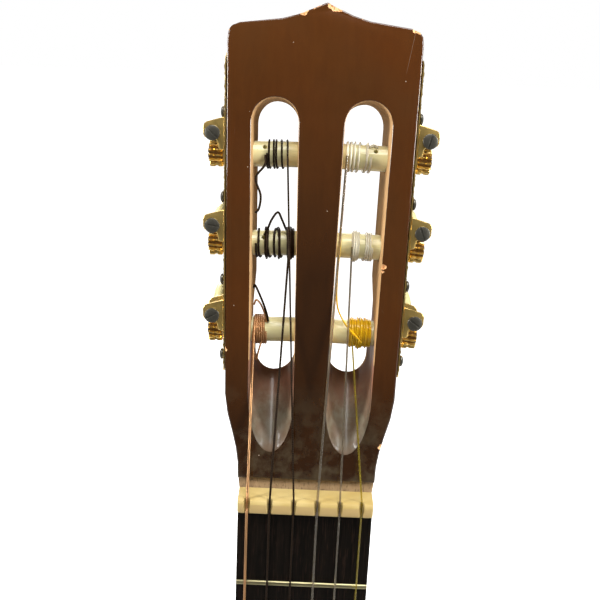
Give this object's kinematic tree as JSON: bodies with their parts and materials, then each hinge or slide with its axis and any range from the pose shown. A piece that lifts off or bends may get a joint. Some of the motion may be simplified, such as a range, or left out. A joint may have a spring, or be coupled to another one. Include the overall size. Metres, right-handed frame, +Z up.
{
  "type": "classical guitar",
  "caption": "Full-size classical guitar: slotted head with geared roller tuners, fretted neck, hollow figure-eight body, tie bridge and taut strings.",
  "frame": {"origin": "on the neck's flat top face under the fingerboard-side edge of the nut, midway across, level with the seat of a neck hanger", "axes": "+X towards the treble side, +Y from the strings to the back, +Z up the neck to the head"},
  "size_m": [0.37, 0.1142, 1.0052],
  "materials": {
    "lacquered_wood": "gloss lacquer",
    "rosewood": "gloss lacquer",
    "fingerboard_wood": "satin, worn",
    "soundboard_wood": "gloss lacquer",
    "bare_wood": "bare",
    "brace_wood": "bare",
    "rosette_mosaic": "inlaid, lacquered",
    "bone": "bone, yellowed satin",
    "cream_plastic": "aged cream gloss",
    "gilt_brass": "embossed, gilt",
    "dark_steel": "blackened",
    "nylon_clear": "clear nylon",
    "nylon_yellow": "yellowed nylon",
    "wound_copper": "wound, tarnished copper",
    "wound_dark": "wound, tarnished"
  },
  "bodies": {
    "guitar": {"headstock": "lacquered_wood", "head_veneer": "lacquered_wood", "neck": "lacquered_wood", "heel_cap": "rosewood", "fingerboard": "fingerboard_wood", "nut": "bone", "tuner_plate_bass": "gilt_brass", "tuner_plate_treble": "gilt_brass", "soundboard": "soundboard_wood", "rosette": "rosette_mosaic", "back_plate": "rosewood", "side_bass": "rosewood", "side_treble": "rosewood", "top_lining_bass": "bare_wood", "top_lining_treble": "bare_wood", "back_lining_bass": "bare_wood", "back_lining_treble": "bare_wood", "top_binding": "rosewood", "back_binding": "rosewood", "neck_block": "bare_wood", "tail_block": "bare_wood", "end_graft": "rosewood", "upper_harmonic_bar": "brace_wood", "lower_harmonic_bar": "brace_wood", "fan_bracing": "brace_wood", "back_brace_upper": "brace_wood", "back_brace_waist": "brace_wood", "back_brace_lower": "brace_wood", "bridge": "rosewood", "saddle": "bone", "string_6": "wound_copper", "string_5": "wound_dark", "string_4": "wound_dark", "string_3": "nylon_clear", "string_2": "nylon_clear", "string_1": "nylon_yellow"},
    "tuner_6": {"worm_shaft_6": "dark_steel", "button_6": "cream_plastic"},
    "post_6": {"gear_6": "gilt_brass", "roller_6": "cream_plastic"},
    "tuner_5": {"worm_shaft_5": "dark_steel", "button_5": "cream_plastic"},
    "post_5": {"gear_5": "gilt_brass", "roller_5": "cream_plastic"},
    "tuner_4": {"worm_shaft_4": "dark_steel", "button_4": "cream_plastic"},
    "post_4": {"gear_4": "gilt_brass", "roller_4": "cream_plastic"},
    "tuner_3": {"worm_shaft_3": "dark_steel", "button_3": "cream_plastic"},
    "post_3": {"gear_3": "gilt_brass", "roller_3": "cream_plastic"},
    "tuner_2": {"worm_shaft_2": "dark_steel", "button_2": "cream_plastic"},
    "post_2": {"gear_2": "gilt_brass", "roller_2": "cream_plastic"},
    "tuner_1": {"worm_shaft_1": "dark_steel", "button_1": "cream_plastic"},
    "post_1": {"gear_1": "gilt_brass", "roller_1": "cream_plastic"}
  },
  "joints": [
    {"name": "button_turn_6", "type": "hinge", "parent": "guitar", "child": "tuner_6", "pos_m": [-0.03974, 0.02491, 0.07258], "axis": [0, -0.9758, 0.2188], "continuous": true},
    {"name": "roller_turn_6", "type": "hinge", "parent": "guitar", "child": "post_6", "pos_m": [-0.01601, 0.02352, 0.06641], "axis": [0.9998, 0.0044, 0.0198], "continuous": true},
    {"name": "button_turn_5", "type": "hinge", "parent": "guitar", "child": "tuner_5", "pos_m": [-0.04045, 0.03256, 0.10673], "axis": [0, -0.9758, 0.2188], "continuous": true},
    {"name": "roller_turn_5", "type": "hinge", "parent": "guitar", "child": "post_5", "pos_m": [-0.01672, 0.03118, 0.10056], "axis": [0.9998, 0.0044, 0.0198], "continuous": true},
    {"name": "button_turn_4", "type": "hinge", "parent": "guitar", "child": "tuner_4", "pos_m": [-0.04116, 0.04018, 0.14069], "axis": [0, -0.9758, 0.2188], "continuous": true},
    {"name": "roller_turn_4", "type": "hinge", "parent": "guitar", "child": "post_4", "pos_m": [-0.01742, 0.0388, 0.13452], "axis": [0.9998, 0.0044, 0.0198], "continuous": true},
    {"name": "button_turn_3", "type": "hinge", "parent": "guitar", "child": "tuner_3", "pos_m": [0.04116, 0.04018, 0.14069], "axis": [0, -0.9758, 0.2188], "continuous": true},
    {"name": "roller_turn_3", "type": "hinge", "parent": "guitar", "child": "post_3", "pos_m": [0.01742, 0.0388, 0.13452], "axis": [0.9998, -0.0044, -0.0198], "continuous": true},
    {"name": "button_turn_2", "type": "hinge", "parent": "guitar", "child": "tuner_2", "pos_m": [0.04045, 0.03256, 0.10673], "axis": [0, -0.9758, 0.2188], "continuous": true},
    {"name": "roller_turn_2", "type": "hinge", "parent": "guitar", "child": "post_2", "pos_m": [0.01672, 0.03118, 0.10056], "axis": [0.9998, -0.0044, -0.0198], "continuous": true},
    {"name": "button_turn_1", "type": "hinge", "parent": "guitar", "child": "tuner_1", "pos_m": [0.03974, 0.02491, 0.07258], "axis": [0, -0.9758, 0.2188], "continuous": true},
    {"name": "roller_turn_1", "type": "hinge", "parent": "guitar", "child": "post_1", "pos_m": [0.01601, 0.02352, 0.06641], "axis": [0.9998, -0.0044, -0.0198], "continuous": true}
  ],
  "couplings": [
    {"joint": "roller_turn_6", "follows": "button_turn_6", "ratio": -0.071429},
    {"joint": "roller_turn_5", "follows": "button_turn_5", "ratio": -0.071429},
    {"joint": "roller_turn_4", "follows": "button_turn_4", "ratio": -0.071429},
    {"joint": "roller_turn_3", "follows": "button_turn_3", "ratio": -0.071429},
    {"joint": "roller_turn_2", "follows": "button_turn_2", "ratio": -0.071429},
    {"joint": "roller_turn_1", "follows": "button_turn_1", "ratio": -0.071429}
  ]
}
